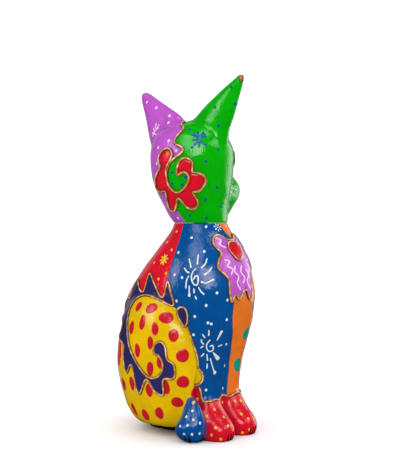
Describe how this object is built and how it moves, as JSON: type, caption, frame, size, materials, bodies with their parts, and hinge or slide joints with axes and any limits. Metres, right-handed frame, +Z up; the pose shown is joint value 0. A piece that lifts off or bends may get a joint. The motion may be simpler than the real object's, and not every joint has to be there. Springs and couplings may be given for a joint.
{
  "type": "alebrije figure",
  "caption": "Seated carved and painted cat figure with a separate head that turns on a neck dowel, pegged ears and tail, and raised flower and flame ornament; stands on a shelf.",
  "frame": {"origin": "on the floor plane under the middle of the cat's body, on the middle plane of the torso", "axes": "+Z up along the neck dowel, the chest and front paws face -Y, the cat's right side is -X"},
  "size_m": [0.123, 0.133, 0.2955],
  "materials": {
    "body_paint": "acrylic paint under gloss lacquer",
    "haunch_paint": "acrylic paint under gloss lacquer",
    "haunch_purple": "acrylic paint under gloss lacquer",
    "paw_red": "acrylic paint under gloss lacquer",
    "paw_blue": "acrylic paint under gloss lacquer",
    "paw_green": "acrylic paint under gloss lacquer",
    "tail_paint": "acrylic paint under gloss lacquer",
    "head_green": "acrylic paint under gloss lacquer",
    "ear_purple": "acrylic paint under gloss lacquer",
    "flower_red": "acrylic paint under gloss lacquer",
    "flower_purple": "acrylic paint under gloss lacquer",
    "flame_navy": "acrylic paint under gloss lacquer",
    "bare_wood": "bare turned wood"
  },
  "bodies": {
    "torso": {"torso": "body_paint", "right_haunch": "haunch_paint", "left_haunch": "haunch_purple", "right_front_paw": "paw_red", "left_front_paw": "paw_red", "right_hind_paw": "paw_blue", "left_hind_paw": "paw_green", "tail": "tail_paint", "tail_peg": "bare_wood", "neck_dowel": "bare_wood", "chest_flower": "flower_purple", "chest_heart": "flower_red", "right_haunch_flame": "flame_navy", "left_haunch_flame": "flame_navy"},
    "head": {"head": "head_green", "right_ear": "head_green", "left_ear": "ear_purple", "right_ear_peg": "bare_wood", "left_ear_peg": "bare_wood", "head_flower": "flower_red"}
  },
  "joints": [
    {"name": "head_turn", "type": "hinge", "parent": "torso", "child": "head", "pos_m": [0, -0.016, 0.176], "axis": [0, 0, 1], "continuous": true}
  ]
}
